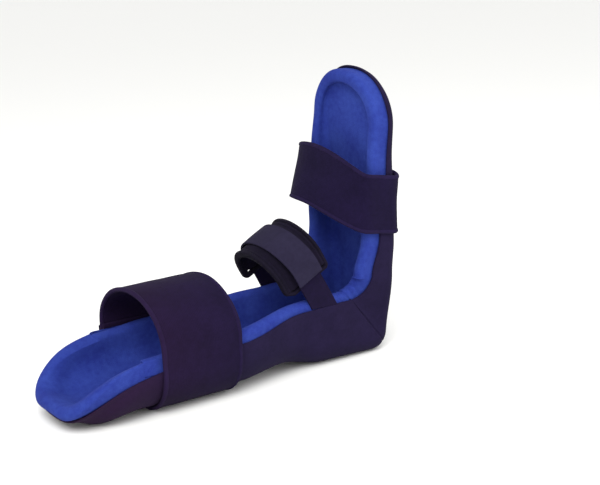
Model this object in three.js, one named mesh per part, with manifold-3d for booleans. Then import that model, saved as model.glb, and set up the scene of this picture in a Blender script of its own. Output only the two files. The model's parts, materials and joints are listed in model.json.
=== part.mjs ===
// A soft ankle foot orthosis: a padded, right-angled night splint for an adult right foot.
// It lies on its calf side with the toes up. Millimetres, +Z up towards the toes, -X towards the knee,
// -Y the little-toe (lateral) side. The model is drawn with the outer face of the sole in the plane X = 0
// and is moved at the end so that the origin is the bottom centre of its bounding box.
import * as THREE from 'three';
import Module from 'manifold-3d';

const { clamp, degToRad, lerp, smoothstep } = THREE.MathUtils;

// ---- Driving dimensions ------------------------------------------------------------------------
const CALF_LENGTH = 358; // outer face of the sole to the proximal end of the calf trough
const FOOT_LENGTH = 288; // underside of the heel to the toe end
const HEEL_RADIUS = 16; // rounding of the outer heel corner in side view
const TOE_LENGTH = 60; // length of the rounded toe end
const TOE_ROUNDNESS = 2.2; // exponent of the toe end's superellipse
const TOE_OFFSET = 9; // the toe end is rounded about a line this far towards the big toe

const GAP = 0.3; // clearance between neighbouring pieces
const LAYER_GAP = 0.5; // clearance between the trough's layers, whose facets are not quite parallel
const COVER_THICKNESS = 3.2;
const SHELL_THICKNESS = 2.5;
const LINER_THICKNESS = 9;
const LIP_THICKNESS = 12; // the liner's rolled rim stands outwards over the edge of the shell
const LIP_ROUNDING = 4;
const SHELL_DROP = 3; // the shell's edge is this far below the cover's
const SHELL_INSET = 12; // and this far short of the cover at the proximal end
const SEAM_SHARE = 0.003; // half the mitre seam's gap, as a share of the way round the heel

const STRAP_THICKNESS = 3.5;
const BINDING_WIDTH = 4;
const BINDING_GAP = 0.6; // clearance between a flap and its bindings, whose facets are not quite parallel
const BINDING_RAISE = 0.8;
const HOOK_THICKNESS = 1.4;
const HOOK_INSET = 1; // the hook tape is this much short of the strap's edges
const CALF_STRAP = { proximal: -275, distal: -192, shoulder: 63, rise: 43, flapEnd: 50, tabEnd: 33 };
const FOREFOOT_STRAP = {
  lateralMiddle: 154.5, climb: 22, lean: 0.16, crest: 30, halfWidth: 29.5,
  shoulder: 36, medialShoulder: 25, crown: 20, riseProximal: 29.5, riseDistal: 7, flapEnd: 21, tabEnd: 7,
};
const ANKLE_STRAP = { halfWidth: 15, thickness: 2.2, shoulder: 46, rise: 31, end: 34 };
const ANKLE_BASE = { x: -86, z: 66, tilt: degToRad(28) }; // the loop leans back towards the knee
const ANKLE_TAB = { halfWidth: 13.5, inner: 41.2, thickness: 2.2, foot: 64, top: 45 };
const PAD = {
  halfWidth: 28, half: 32, rise: 24.5, thickness: 6, medialEnd: 36, lateralEnd: 28, binding: 3.5,
};

// Depths of the layers inwards from the cover's outer surface.
const COVER = { outer: 0, inner: COVER_THICKNESS };
const SHELL = { outer: COVER.inner + LAYER_GAP, inner: COVER.inner + LAYER_GAP + SHELL_THICKNESS };
const LINER = { outer: SHELL.inner + LAYER_GAP, inner: SHELL.inner + LAYER_GAP + LINER_THICKNESS };

// ---- Side-view and width functions ---------------------------------------------------------------
// Smooth interpolation through [position, value] knots, level at each knot.
function along(knots, t) {
  if (t <= knots[0][0]) return knots[0][1];
  const next = knots.findIndex(([position]) => t <= position);
  if (next < 0) return knots[knots.length - 1][1];
  const [t0, v0] = knots[next - 1];
  const [t1, v1] = knots[next];
  return lerp(v0, v1, smoothstep(t, t0, t1));
}

const STRAP_SEAT = STRAP_THICKNESS + GAP; // the trough's back stands this high over the calf strap
const backHeight = (x) => (
  along([[-358, 9], [-328, 0.2], [-290, STRAP_SEAT], [-182, STRAP_SEAT], [-130, 8.5], [-78, 0]], x)
);
const calfHalfWidth = (x) => along([[-190, 58], [-100, 44], [-78, 43]], x);
const calfCorner = (x) => along([[-190, 40], [-78, 26]], x);
const calfRim = (x) => along([[-300, 47], [-190, 53], [-110, 63], [-78, 63.5]], x);
const calfLip = (x) => along([[-262, 12], [-180, 10], [-110, 8]], x);
const footRim = (z) => along([[84, 31], [127, 23], [195, 13], [245, 8]], z);
const lateralHalfWidth = (z) => along([[84, 51], [120, 55]], z);
const medialHalfWidth = (z) => along([[84, 46], [125, 50], [163, 56]], z);
const FOOT_LIP = 15;
const FOOT_CORNER = 12;

// ---- Ribs: one cross-section of the trough each -----------------------------------------------------
// back is where the rib starts on the outer back line and rim where the cover ends, both as (x, z);
// inward is the normal of the back line; up is the walls' direction, where it isn't simply towards the
// rim; lip is how much further the liner goes.
const BOW = 62; // the proximal end is a rounded tongue: its corners are cut back by this much
const BOW_END = 110;
const BOW_POWER = 3;
const RUN_OUT = 0.4; // and the rim runs out into the cut with a smooth bend
const RUN_OUT_POWER = 16;
const HEEL_START = -78; // the ribs fan out round the heel from here, on the calf side
const HEEL_END = 84; // and up to here, on the foot side
const HEEL_HALF_WIDTH = 40;
const HEEL_CORNER = 18;
const TOE_START = FOOT_LENGTH - TOE_LENGTH;
const STRAIGHT = { bow: 0, narrow: 1, reach: 0, shift: 0 };

function calfRib(x) {
  const bow = BOW * Math.max(0, 1 - (x + CALF_LENGTH) / BOW_END);
  return {
    ...STRAIGHT,
    back: new THREE.Vector2(x, backHeight(x)),
    rim: new THREE.Vector2(x, calfRim(x + bow)),
    inward: new THREE.Vector2(0, 1),
    up: new THREE.Vector2(0, 1),
    lip: calfLip(x + bow),
    lateral: calfHalfWidth(x),
    medial: calfHalfWidth(x),
    corner: calfCorner(x),
    bow,
  };
}

const heelRim = new THREE.CatmullRomCurve3([
  new THREE.Vector3(HEEL_START, 0, calfRim(HEEL_START)),
  new THREE.Vector3(-60, 0, 62.5),
  new THREE.Vector3(-47, 0, 62.5),
  new THREE.Vector3(-37.5, 0, 69),
  new THREE.Vector3(-footRim(HEEL_END), 0, HEEL_END),
]);
const heelBack = new THREE.Path();
heelBack.moveTo(HEEL_START, 0);
heelBack.lineTo(-HEEL_RADIUS, 0);
heelBack.absarc(-HEEL_RADIUS, HEEL_RADIUS, HEEL_RADIUS, -Math.PI / 2, 0, false);
heelBack.lineTo(0, HEEL_END);
const MITRE = (-HEEL_RADIUS - HEEL_START + (HEEL_RADIUS * Math.PI) / 4) / heelBack.getLength();

// share runs round the heel from the calf (0) to the foot (1).
function heelRib(share) {
  const ankleHalfWidth = calfHalfWidth(HEEL_START);
  const tangent = heelBack.getTangentAt(share);
  const rim = heelRim.getPointAt(share);
  return {
    ...STRAIGHT,
    back: heelBack.getPointAt(share),
    rim: new THREE.Vector2(rim.x, rim.z),
    inward: new THREE.Vector2(-tangent.y, tangent.x),
    lip: along([[0, calfLip(HEEL_START)], [1, FOOT_LIP]], share),
    lateral: along([[0, ankleHalfWidth], [MITRE, HEEL_HALF_WIDTH], [1, lateralHalfWidth(HEEL_END)]], share),
    medial: along([[0, ankleHalfWidth], [MITRE, HEEL_HALF_WIDTH], [1, medialHalfWidth(HEEL_END)]], share),
    corner: along([[0, calfCorner(HEEL_START)], [MITRE, HEEL_CORNER], [1, FOOT_CORNER]], share),
  };
}

function footRib(z) {
  const shift = along([[HEEL_END, 0], [TOE_START, TOE_OFFSET]], z);
  return {
    ...STRAIGHT,
    back: new THREE.Vector2(0, z),
    rim: new THREE.Vector2(-footRim(z), z),
    inward: new THREE.Vector2(-1, 0),
    up: new THREE.Vector2(-1, 0),
    lip: FOOT_LIP,
    lateral: lateralHalfWidth(z) + shift,
    medial: medialHalfWidth(z) - shift,
    corner: FOOT_CORNER,
    shift,
  };
}

// The toe ribs fan out from the middle of the sole: 0 degrees is straight across, 90 is the toe tip.
function toeRib(degrees) {
  const reach = Math.sin(degToRad(degrees));
  return {
    ...footRib(TOE_START),
    rim: new THREE.Vector2(-footRim(TOE_START + TOE_LENGTH * reach), TOE_START),
    narrow: degrees === 90 ? 0 : (1 - reach ** TOE_ROUNDNESS) ** (1 / TOE_ROUNDNESS),
    reach,
  };
}

// ---- Outline of a rib -------------------------------------------------------------------------------
const CORNER_STEPS = 6; // segments in every quarter turn of a layer or a strap
const SMALLEST_CORNER = 2;

const turnUpTo = (height, radius) => Math.acos(clamp(1 - height / radius, 0, 1));

// A point of the rib's U-shaped section, depth inside the outer surface. The feature counts outwards:
// 0 the middle of the back, 1 to 1 + CORNER_STEPS the corner's arc, then the end of the wall, which
// stands extra past the cover's edge.
function ribPoint(rib, side, feature, depth, extra) {
  const outerHalf = side < 0 ? rib.lateral : rib.medial;
  const half = outerHalf - depth;
  const radius = Math.max(rib.corner - depth, SMALLEST_CORNER);
  const start = rib.back.clone().addScaledVector(rib.inward, depth);
  const rise = rib.rim.clone().sub(start);
  const up = rib.up ?? rise.clone().normalize();
  const height = Math.max(0, rise.dot(up) + extra);
  const turn = turnUpTo(height, radius);
  const angle = turn * clamp((feature - 1) / CORNER_STEPS, 0, 1);
  const onWall = feature > 1 + CORNER_STEPS;
  const y = feature === 0 ? 0 : half - radius + radius * Math.sin(angle);
  const h = onWall ? height : radius * (1 - Math.cos(angle));
  const ahead = feature === 0 ? 0 : (TOE_LENGTH - depth - (half - y)) * rib.reach;
  const flat = feature === 0 ? 0 : outerHalf - rib.corner;
  const distance = flat + rib.corner * angle + (onWall ? Math.max(0, height - radius) : 0);
  return new THREE.Vector3(
    start.x + up.x * h + cutBack(rib, outerHalf, distance),
    rib.shift + side * y * rib.narrow,
    start.y + up.y * h + ahead,
  );
}

// How far the rounded proximal end is cut back, at a distance along the section from its middle.
function cutBack(rib, outerHalf, distance) {
  const height = rib.rim.distanceTo(rib.back);
  const arc = rib.corner * turnUpTo(height, rib.corner);
  const edge = outerHalf - rib.corner + arc + Math.max(0, height - rib.corner);
  const share = Math.min(1, distance / edge);
  return rib.bow * (share ** BOW_POWER + RUN_OUT * share ** RUN_OUT_POWER);
}

const WALL = CORNER_STEPS + 2;
const FEATURES = Array.from({ length: WALL + 1 }, (_, feature) => feature);

// One row of points across the trough, from the lateral edge to the medial edge.
function section(rib, corners) {
  const half = (side) => corners.map(([feature, depth, extra]) => ribPoint(rib, side, feature, depth, extra));
  return [...half(-1).reverse(), ...half(1).slice(1)];
}

// ---- Solid builder --------------------------------------------------------------------------------
const COINCIDENT = 0.01;
const WELD = 0.005; // points within this grid step of each other are one vertex
// A closed solid between two matching grids of points. Points that coincide are one vertex, and
// triangles that collapse are left out.
function slab(outer, inner) {
  const positions = [];
  const triangles = [];
  const known = new Map();
  const vertex = (point) => {
    const key = point.toArray().map((value) => Math.round(value / WELD)).join();
    if (!known.has(key)) {
      known.set(key, positions.length / 3);
      positions.push(...point.toArray());
    }
    return known.get(key);
  };
  const quad = (...corners) => {
    const [a, b, c, d] = corners.map(vertex);
    triangles.push(...[[a, b, c], [a, c, d]].filter(([i, j, k]) => i !== j && j !== k && k !== i));
  };
  const rows = outer.length - 1;
  const columns = outer[0].length - 1;
  for (let r = 0; r < rows; r++) {
    for (let c = 0; c < columns; c++) {
      quad(outer[r][c], outer[r][c + 1], outer[r + 1][c + 1], outer[r + 1][c]);
      quad(inner[r][c], inner[r + 1][c], inner[r + 1][c + 1], inner[r][c + 1]);
    }
    quad(outer[r][0], outer[r + 1][0], inner[r + 1][0], inner[r][0]);
    quad(outer[r][columns], inner[r][columns], inner[r + 1][columns], outer[r + 1][columns]);
  }
  const isShut = (row) => row[0].distanceTo(row[columns]) < COINCIDENT;
  for (let c = 0; c < columns; c++) {
    if (!isShut(outer[0])) quad(outer[0][c], inner[0][c], inner[0][c + 1], outer[0][c + 1]);
    if (!isShut(outer[rows])) quad(outer[rows][c], outer[rows][c + 1], inner[rows][c + 1], inner[rows][c]);
  }
  const geometry = new THREE.BufferGeometry();
  geometry.setAttribute('position', new THREE.Float32BufferAttribute(positions, 3));
  const outward = isInsideOut(positions, triangles) ? triangles.map((t) => t.reverse()) : triangles;
  geometry.setIndex(outward.flat());
  geometry.computeVertexNormals();
  return geometry;
}

function isInsideOut(positions, triangles) {
  const at = (i) => new THREE.Vector3().fromArray(positions, i * 3);
  return triangles.reduce((sum, [a, b, c]) => sum + at(a).dot(at(b).cross(at(c))), 0) < 0;
}

// ---- Trough layers ----------------------------------------------------------------------------------
const CALF_STATIONS = [-338, -322, -306, -290, -190, -182, -160, -130, -104];
const FOOT_STATIONS = [100, 125, 150, 175, 196, 207, 218];
const TOE_DEGREES = [0, 14, 28, 42, 56, 68, 80, 90];
const heelShares = (from, to, count) => (
  Array.from({ length: count }, (_, i) => lerp(from, to, i / (count - 1)))
);

const calfRibs = () => [
  ...[-CALF_LENGTH, -CALF_LENGTH + SHELL_INSET, ...CALF_STATIONS].map(calfRib),
  ...heelShares(0, MITRE - SEAM_SHARE, 8).map(heelRib),
];
const footRibs = () => [
  ...heelShares(MITRE + SEAM_SHARE, 1, 8).map(heelRib),
  ...FOOT_STATIONS.map(footRib),
  ...TOE_DEGREES.map(toeRib),
];

function layer(ribs, depths, extra) {
  const grid = (depth) => {
    const corners = FEATURES.map((feature) => [feature, depth, extra]);
    return ribs.map((rib) => section(rib, corners));
  };
  return slab(grid(depths.outer), grid(depths.inner));
}

// The liner rises past the cover's edge, steps outwards over the shell and ends in a rounded rim.
function liner(ribs) {
  const lipOuter = LINER.inner - LIP_THICKNESS;
  const grid = (depth, lipDepth, rimDepth) => ribs.map((rib) => section(rib, [
    ...FEATURES.map((feature) => [feature, depth, GAP]),
    [WALL, lipDepth, GAP],
    [WALL, lipDepth, Math.max(rib.lip - LIP_ROUNDING, rib.lip / 2)],
    [WALL, rimDepth, rib.lip],
  ]));
  return slab(
    grid(LINER.outer, lipOuter, lipOuter + LIP_ROUNDING),
    grid(LINER.inner, LINER.inner, LINER.inner - LIP_ROUNDING),
  );
}

// ---- Straps -----------------------------------------------------------------------------------------
// A strip of webbing. path is the line of its inner face in the plane of the loop, place puts a point
// of that plane at a distance across the strip, and the thickness goes to the path's left.
function strip(path, thickness, across, place, lift = 0) {
  const offset = (points, distance) => points.map((point, i) => {
    const before = points[Math.max(i - 1, 0)];
    const after = points[Math.min(i + 1, points.length - 1)];
    const first = point.clone().sub(before).normalize();
    const second = after.clone().sub(point).normalize();
    const tangent = first.add(second).normalize();
    const mitre = distance / Math.sqrt((1 + tangentCosine(before, point, after)) / 2);
    return new THREE.Vector2(point.x - tangent.y * mitre, point.y + tangent.x * mitre);
  });
  const grid = (distance) => across.map((w) => offset(path(w), distance).map((point) => place(point, w)));
  return slab(grid(lift + thickness), grid(lift));
}

function tangentCosine(before, point, after) {
  const first = point.clone().sub(before);
  const second = after.clone().sub(point);
  if (first.length() === 0 || second.length() === 0) return 1;
  return first.normalize().dot(second.normalize());
}

function stepsAlong(path) {
  const points = path.getPoints(CORNER_STEPS / 2);
  return points.filter((point, i) => i === 0 || point.distanceTo(points[i - 1]) > COINCIDENT);
}

// The part of a loop that passes round the trough, up to medialTop on one wall and lateralTop on the other.
function troughPath({ lateral, medial, corner, floor }, lateralTop, medialTop) {
  const path = new THREE.Path();
  const radius = corner + GAP;
  path.moveTo(medial + GAP, medialTop);
  path.lineTo(medial + GAP, floor + corner);
  path.absarc(medial - corner, floor + corner, radius, 0, -Math.PI / 2, true);
  path.lineTo(-lateral + corner, floor - GAP);
  path.absarc(-lateral + corner, floor + corner, radius, -Math.PI / 2, -Math.PI, true);
  path.lineTo(-lateral - GAP, lateralTop);
  return stepsAlong(path);
}

// The part that passes over the leg: up from start, over the crown, rise above the near shoulder, and down
// the far side to end.
function archPath({ near, far, crown = 0, shoulder, farShoulder = shoulder, rise, start = shoulder, end }) {
  const path = new THREE.Path();
  const farRise = shoulder + rise - farShoulder;
  path.moveTo(-near, start);
  path.lineTo(-near, shoulder);
  path.absellipse(crown, shoulder, crown + near, rise, Math.PI, Math.PI / 2, true, 0);
  path.absellipse(crown, farShoulder, far - crown, farRise, Math.PI / 2, 0, true, 0);
  path.lineTo(far, end);
  return stepsAlong(path);
}

const OVERLAP = GAP + STRAP_THICKNESS + GAP + HOOK_THICKNESS + GAP; // a flap's end outside its anchor
const STRAP_COLOR = 0x1c1632;
const HOOK_COLOR = 0x15131c;

// A wide strap: one length fixed round the trough, a flap that hinges at the lateral shoulder, the free
// end that peels first, its hook tape, and a tape along each edge of the flap.
function wideStrap(name, size, place, placeUnder = place) {
  const { lateral, medial, shoulder, medialShoulder, crown, riseAt, flapEnd, tabEnd, near, far } = size;
  const outside = medial + OVERLAP;
  const inset = BINDING_WIDTH + BINDING_GAP;
  const arch = (w) => archPath({
    near: lateral + GAP, far: outside, crown, shoulder, farShoulder: medialShoulder, rise: riseAt(w),
    end: flapEnd,
  });
  const straight = (y, from, to) => () => [new THREE.Vector2(y, from), new THREE.Vector2(y, to)];
  const round = () => troughPath(size, shoulder - GAP, medialShoulder - GAP);
  const bound = STRAP_THICKNESS + BINDING_RAISE;
  const free = straight(outside, flapEnd - GAP, tabEnd);
  const hook = straight(outside - GAP - HOOK_THICKNESS, flapEnd - HOOK_INSET, tabEnd + HOOK_INSET);
  const cloth = { color: STRAP_COLOR, roughness: 0.95 };
  return [
    piece(`${name}_anchor`, strip(round, STRAP_THICKNESS, [near, far], placeUnder), cloth),
    piece(`${name}_flap`, strip(arch, STRAP_THICKNESS, [near + inset, far - inset], place), cloth),
    piece(`${name}_binding_proximal`, strip(arch, bound, [near, near + BINDING_WIDTH], place), cloth),
    piece(`${name}_binding_distal`, strip(arch, bound, [far - BINDING_WIDTH, far], place), cloth),
    piece(`${name}_tab`, strip(free, STRAP_THICKNESS, [near, far], place), cloth),
    piece(`${name}_hook`, strip(hook, HOOK_THICKNESS, [near + inset, far - inset], place), {
      color: HOOK_COLOR, roughness: 0.8,
    }),
  ];
}

function calfStrap() {
  const { proximal, distal, shoulder, rise, flapEnd, tabEnd } = CALF_STRAP;
  const half = calfHalfWidth(proximal);
  return wideStrap('calf_strap', {
    lateral: half, medial: half, corner: calfCorner(proximal), floor: STRAP_SEAT, shoulder,
    medialShoulder: shoulder, crown: 0, riseAt: () => rise, flapEnd, tabEnd, near: proximal, far: distal,
  }, (point, w) => new THREE.Vector3(w, point.x, point.y));
}

// The forefoot strap leans towards the toes, climbs on over the foot, and climbs evenly under the sole.
function forefootStrap() {
  const { lateralMiddle, climb, lean, crest, halfWidth, riseProximal, riseDistal } = FOREFOOT_STRAP;
  const lateral = lateralHalfWidth(lateralMiddle);
  const medial = medialHalfWidth(lateralMiddle + climb);
  const overFoot = (y) => {
    const share = Math.max(0, (y + lateral + GAP) / (crest + lateral + GAP));
    return lateralMiddle + climb * Math.sin((share * Math.PI) / 2);
  };
  const underSole = (y) => {
    const share = clamp((y + lateral) / (medial + lateral), 0, 1);
    return lerp(lateralMiddle, overFoot(medial), share);
  };
  const placeOn = (middle) => ({ x, y }, w) => (
    new THREE.Vector3(-y, x, middle(x) + lean * Math.max(0, y) + w)
  );
  return wideStrap('forefoot_strap', {
    ...FOREFOOT_STRAP,
    lateral, medial, corner: FOOT_CORNER, floor: 0,
    riseAt: (w) => lerp(riseProximal, riseDistal, (w / halfWidth + 1) / 2), near: -halfWidth, far: halfWidth,
  }, placeOn(overFoot), placeOn(underSole));
}

// ---- Ankle strap ------------------------------------------------------------------------------------
// The loop's plane is tilted; the arch is drawn from the medial side, so its y runs the other way.
function ankleFrame(point, w) {
  const { x, z, tilt } = ANKLE_BASE;
  return new THREE.Vector3(
    x - Math.sin(tilt) * point.y + Math.cos(tilt) * w,
    -point.x,
    z + Math.cos(tilt) * point.y + Math.sin(tilt) * w,
  );
}

// A flat tab that stands on the cover's edge; its foot is level and its top is square to the loop.
function ankleTab(side, top) {
  const { halfWidth, inner, thickness, foot } = ANKLE_TAB;
  const { z, tilt } = ANKLE_BASE;
  const footAt = (w) => (foot - z - Math.sin(tilt) * w) / Math.cos(tilt);
  const face = (y) => [-halfWidth, halfWidth].map((w) => (
    [footAt(w), top].map((height) => ankleFrame(new THREE.Vector2(-side * y, height), w))
  ));
  return slab(face(inner + thickness), face(inner));
}

const wasm = await Module();
wasm.setup();

function toManifold(geometry) {
  return new wasm.Manifold(new wasm.Mesh({
    numProp: 3,
    vertProperties: Float32Array.from(geometry.getAttribute('position').array),
    triVerts: Uint32Array.from(geometry.getIndex().array),
  }));
}

function cut(body, tool) {
  const mesh = toManifold(body).subtract(toManifold(tool)).getMesh();
  const geometry = new THREE.BufferGeometry();
  geometry.setAttribute('position', new THREE.BufferAttribute(Float32Array.from(mesh.vertProperties), 3));
  geometry.setIndex(Array.from(mesh.triVerts));
  geometry.computeVertexNormals();
  return geometry;
}

// The pad is a curved slab and its binding is the frame round it.
function instepPad() {
  const padStrip = (inset, lift, thickness) => strip(
    () => archPath({
      near: PAD.half, far: PAD.half, shoulder: ANKLE_STRAP.shoulder, rise: PAD.rise,
      start: PAD.medialEnd + inset, end: PAD.lateralEnd + inset,
    }),
    thickness, [-PAD.halfWidth + inset, PAD.halfWidth - inset], ankleFrame, lift,
  );
  const margin = 2;
  return [
    piece('instep_pad', padStrip(PAD.binding + GAP, 0, PAD.thickness), { color: 0x1a1522, roughness: 0.95 }),
    piece('instep_pad_binding', cut(
      padStrip(0, 0, PAD.thickness),
      padStrip(PAD.binding, -margin, PAD.thickness + 2 * margin),
    ), { color: 0x141019, roughness: 0.85 }),
  ];
}

function ankleStrap() {
  const { halfWidth, thickness, shoulder, rise, end } = ANKLE_STRAP;
  const { inner, top } = ANKLE_TAB;
  const hookFace = inner + ANKLE_TAB.thickness + GAP;
  const far = hookFace + HOOK_THICKNESS + GAP;
  const arch = () => archPath({ near: inner, far, shoulder, rise, end });
  const hookEnds = [shoulder - HOOK_INSET, end + HOOK_INSET];
  const hook = () => hookEnds.map((height) => new THREE.Vector2(hookFace, height));
  const across = [-halfWidth, halfWidth];
  const hookAcross = [HOOK_INSET - halfWidth, halfWidth - HOOK_INSET];
  const dark = { color: STRAP_COLOR, roughness: 0.95 };
  return [
    piece('ankle_strap_anchor', ankleTab(1, shoulder - GAP), dark),
    piece('ankle_tab_lateral', ankleTab(-1, top), dark),
    piece('ankle_strap', strip(arch, thickness, across, ankleFrame), { color: 0x34324b, roughness: 0.9 }),
    piece('ankle_strap_hook', strip(hook, HOOK_THICKNESS, hookAcross, ankleFrame), {
      color: HOOK_COLOR, roughness: 0.8,
    }),
  ];
}

// ---- Assembly ---------------------------------------------------------------------------------------
function piece(name, geometry, { color, roughness }) {
  const mesh = new THREE.Mesh(geometry, new THREE.MeshStandardMaterial({ color, roughness, metalness: 0 }));
  mesh.name = name;
  return mesh;
}

function trough() {
  const navy = { color: 0x2a2342, roughness: 0.95 };
  const blue = { color: 0x3846aa, roughness: 0.95 };
  return [
    piece('support_shell', layer([...calfRibs().slice(1), ...footRibs()], SHELL, -SHELL_DROP), {
      color: 0xd8d4c8, roughness: 0.5,
    }),
    piece('cover_calf_panel', layer(calfRibs(), COVER, 0), navy),
    piece('cover_foot_panel', layer(footRibs(), COVER, 0), navy),
    piece('liner_calf', liner(calfRibs()), blue),
    piece('liner_foot', liner(footRibs()), blue),
  ];
}

const model = new THREE.Group();
model.name = 'ankle_foot_orthosis';
model.add(...trough(), ...calfStrap(), ...forefootStrap(), ...ankleStrap(), ...instepPad());

const bounds = new THREE.Box3().setFromObject(model);
const middle = bounds.getCenter(new THREE.Vector3());
model.position.set(-middle.x, -middle.y, -bounds.min.z);

export default model;
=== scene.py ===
"""The looks of a padded ankle foot orthosis (a posterior night splint for a right foot).

The model is drawn in metres in the CAD's row frame: +X towards the outer face of the sole, +Z up towards
the toes, -Y the little-toe side. Lengths below are in millimetres, measured from the outer face of the sole
(x), the middle of the calf (y) and the surface that it lies on (z); ORIGIN moves them to the row frame.
"""

import json
import math
from dataclasses import dataclass
from typing import Callable

import bmesh
import bpy
import numpy as np
from mathutils import Matrix, Vector, noise
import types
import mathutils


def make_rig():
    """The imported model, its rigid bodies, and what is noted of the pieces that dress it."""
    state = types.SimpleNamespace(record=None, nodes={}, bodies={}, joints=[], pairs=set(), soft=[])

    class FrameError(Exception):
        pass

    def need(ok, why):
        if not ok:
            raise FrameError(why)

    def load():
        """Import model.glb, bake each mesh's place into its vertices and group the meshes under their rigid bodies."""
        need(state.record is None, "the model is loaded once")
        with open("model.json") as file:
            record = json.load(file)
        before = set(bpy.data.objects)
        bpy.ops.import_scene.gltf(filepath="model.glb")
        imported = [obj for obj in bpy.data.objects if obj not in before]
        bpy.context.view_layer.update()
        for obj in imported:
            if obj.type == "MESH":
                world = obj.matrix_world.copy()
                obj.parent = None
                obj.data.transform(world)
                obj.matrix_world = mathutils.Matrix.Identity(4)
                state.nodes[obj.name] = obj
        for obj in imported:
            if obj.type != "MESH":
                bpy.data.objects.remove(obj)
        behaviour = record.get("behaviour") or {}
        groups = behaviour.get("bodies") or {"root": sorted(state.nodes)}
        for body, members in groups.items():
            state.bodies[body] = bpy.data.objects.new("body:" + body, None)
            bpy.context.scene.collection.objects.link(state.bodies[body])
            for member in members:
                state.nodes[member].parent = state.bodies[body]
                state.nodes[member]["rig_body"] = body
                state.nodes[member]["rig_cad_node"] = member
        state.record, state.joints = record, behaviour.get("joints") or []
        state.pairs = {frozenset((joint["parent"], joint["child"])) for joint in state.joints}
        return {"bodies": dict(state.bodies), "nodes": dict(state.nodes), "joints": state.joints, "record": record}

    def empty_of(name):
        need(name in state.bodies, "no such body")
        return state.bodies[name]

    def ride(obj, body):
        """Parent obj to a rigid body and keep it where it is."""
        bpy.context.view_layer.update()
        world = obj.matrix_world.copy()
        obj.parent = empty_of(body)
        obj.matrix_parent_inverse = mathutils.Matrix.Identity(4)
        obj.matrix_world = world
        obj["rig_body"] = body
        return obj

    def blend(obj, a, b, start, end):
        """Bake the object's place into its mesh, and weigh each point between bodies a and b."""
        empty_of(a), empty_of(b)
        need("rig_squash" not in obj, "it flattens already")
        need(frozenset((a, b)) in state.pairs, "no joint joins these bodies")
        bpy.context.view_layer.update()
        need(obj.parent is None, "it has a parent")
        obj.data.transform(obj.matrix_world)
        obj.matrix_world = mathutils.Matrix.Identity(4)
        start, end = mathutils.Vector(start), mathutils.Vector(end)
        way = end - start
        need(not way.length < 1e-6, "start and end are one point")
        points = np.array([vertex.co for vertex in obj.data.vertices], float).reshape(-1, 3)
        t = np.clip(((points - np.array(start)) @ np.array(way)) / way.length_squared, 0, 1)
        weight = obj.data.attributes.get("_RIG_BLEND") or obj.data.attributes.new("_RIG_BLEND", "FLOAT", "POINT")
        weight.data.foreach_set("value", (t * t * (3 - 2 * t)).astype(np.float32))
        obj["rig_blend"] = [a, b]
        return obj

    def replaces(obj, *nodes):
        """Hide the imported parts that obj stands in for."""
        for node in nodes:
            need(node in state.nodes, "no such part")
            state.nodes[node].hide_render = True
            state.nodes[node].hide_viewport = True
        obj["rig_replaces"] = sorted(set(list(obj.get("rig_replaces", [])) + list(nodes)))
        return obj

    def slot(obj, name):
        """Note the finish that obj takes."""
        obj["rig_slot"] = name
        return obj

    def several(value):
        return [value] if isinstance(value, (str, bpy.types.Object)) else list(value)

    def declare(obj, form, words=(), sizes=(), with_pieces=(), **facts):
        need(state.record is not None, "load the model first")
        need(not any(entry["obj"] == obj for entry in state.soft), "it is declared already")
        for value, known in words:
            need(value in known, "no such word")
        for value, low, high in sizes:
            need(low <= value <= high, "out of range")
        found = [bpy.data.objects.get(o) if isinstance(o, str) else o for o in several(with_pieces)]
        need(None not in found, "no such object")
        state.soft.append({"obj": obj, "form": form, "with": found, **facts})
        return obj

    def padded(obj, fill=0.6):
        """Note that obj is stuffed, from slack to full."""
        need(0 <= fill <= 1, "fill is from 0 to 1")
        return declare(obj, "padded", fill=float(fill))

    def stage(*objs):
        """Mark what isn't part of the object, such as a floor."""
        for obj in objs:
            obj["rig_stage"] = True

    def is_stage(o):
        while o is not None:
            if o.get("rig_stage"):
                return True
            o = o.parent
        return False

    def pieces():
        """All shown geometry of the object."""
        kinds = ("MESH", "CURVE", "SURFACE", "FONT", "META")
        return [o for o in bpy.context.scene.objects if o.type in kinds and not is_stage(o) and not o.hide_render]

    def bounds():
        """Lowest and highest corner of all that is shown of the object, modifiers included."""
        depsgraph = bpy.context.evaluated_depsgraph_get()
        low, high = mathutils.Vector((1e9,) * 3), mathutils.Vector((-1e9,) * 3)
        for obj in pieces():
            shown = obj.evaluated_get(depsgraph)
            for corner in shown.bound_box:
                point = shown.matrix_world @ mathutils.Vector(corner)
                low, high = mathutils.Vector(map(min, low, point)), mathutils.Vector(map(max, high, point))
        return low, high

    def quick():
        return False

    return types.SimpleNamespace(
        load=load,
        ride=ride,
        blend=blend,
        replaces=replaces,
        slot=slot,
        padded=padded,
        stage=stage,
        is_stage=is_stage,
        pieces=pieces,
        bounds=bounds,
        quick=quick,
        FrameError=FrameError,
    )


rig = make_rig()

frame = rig.load()
bounds_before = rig.bounds()

# ---- Sizes, in millimetres ---------------------------------------------------------------------------
ORIGIN = np.array([177.1, -2.783, 0.0])
CALF_LENGTH = 358
FOOT_LENGTH = 288
HEEL_RADIUS = 16
HEEL_START = -78
HEEL_END = 84
TOE_LENGTH = 60
TOE_START = FOOT_LENGTH - TOE_LENGTH
TOE_ROUNDNESS = 2.2
TOE_OFFSET = 9
FOOT_CORNER = 12
TOE_BEND = FOOT_CORNER + 2  # the toe's sole turns up into its wall within this distance
# The proximal end is a rounded tongue. Its cut grows from the middle of the back to the rim: BOW with a low
# power, and RUN_OUT times as much again with a high power, which takes the rim into the cut in a smooth bend.
BOW = 62
BOW_POWER = 3
RUN_OUT = 0.4
RUN_OUT_POWER = 16
BOW_END = 110  # nothing is cut back this far from the end
INNER = 15.5  # depth of the liner's inner face below the cover's outer face
COVER_EDGE = 2.4  # thickness of the cover at its rim
STRAP_SEAT = 3.8


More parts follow.
